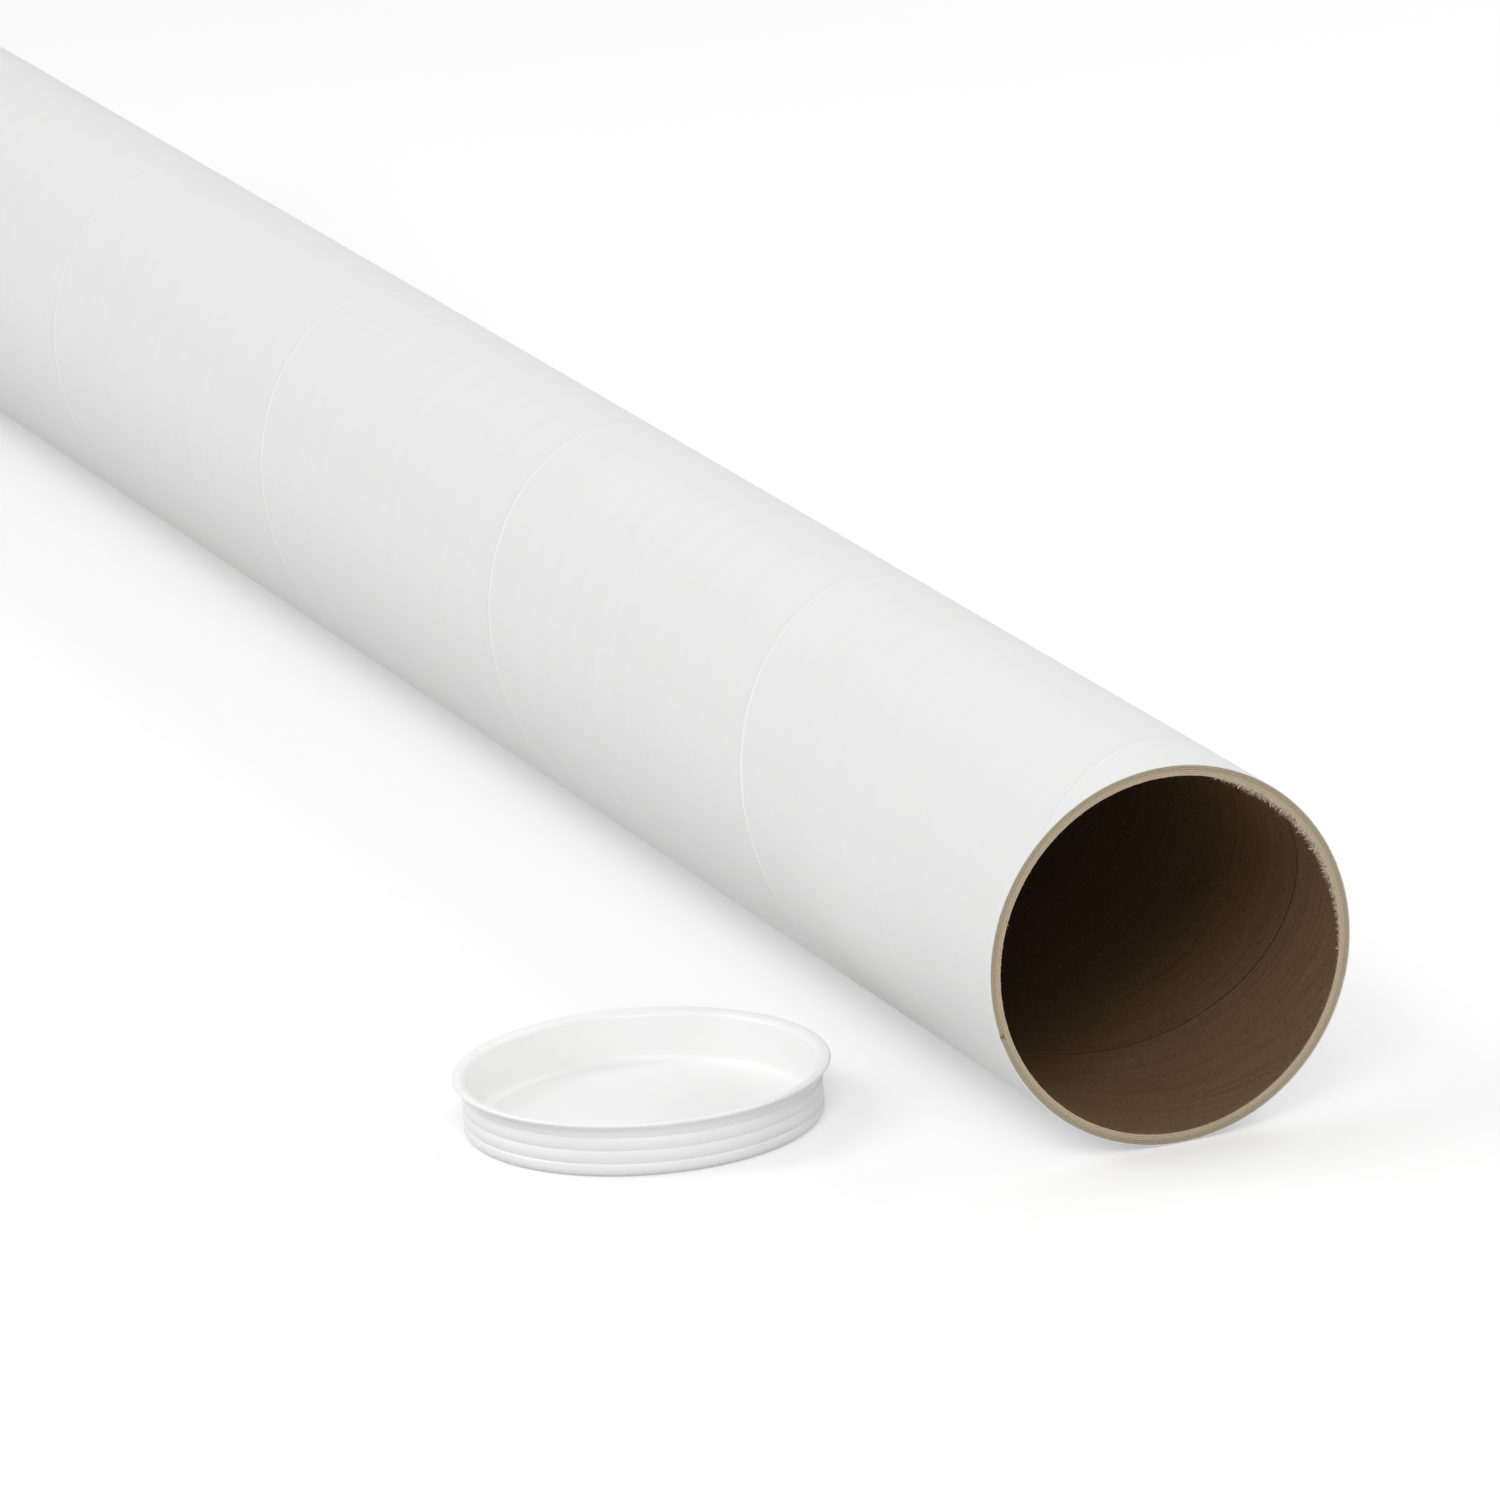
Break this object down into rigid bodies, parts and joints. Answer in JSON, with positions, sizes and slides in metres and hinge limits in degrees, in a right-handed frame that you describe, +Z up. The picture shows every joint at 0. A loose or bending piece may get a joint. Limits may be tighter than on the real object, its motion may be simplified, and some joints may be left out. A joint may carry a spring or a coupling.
{
  "type": "mailing tube",
  "caption": "Long white mailing tube wound from board, lying open at one end, with a ribbed plug cap in its far end and a matching cap beside it.",
  "frame": {"origin": "on the ground, under the middle of the box round the whole set", "axes": "+X along the tube towards its open end, +Z up, -Y on the side where the loose cap lies"},
  "size_m": [1.2206, 0.226, 0.108],
  "materials": {
    "board": "plain grey-brown wound board, bare at the cut end and inside the bore",
    "white_paper": "smooth matte white paper with a faint spiral grain and spiral seams",
    "cap_plastic": "soft milky white plastic with a low gloss"
  },
  "bodies": {
    "tube": {"board_tube": "board", "white_outer_ply": "white_paper", "loose_cap": "cap_plastic"},
    "end_cap": {"fitted_cap": "cap_plastic"}
  },
  "joints": [
    {"name": "end_cap_pull", "type": "slide", "parent": "tube", "child": "end_cap", "axis": [-1, 0, 0], "range_m": [0, 0.06]}
  ]
}
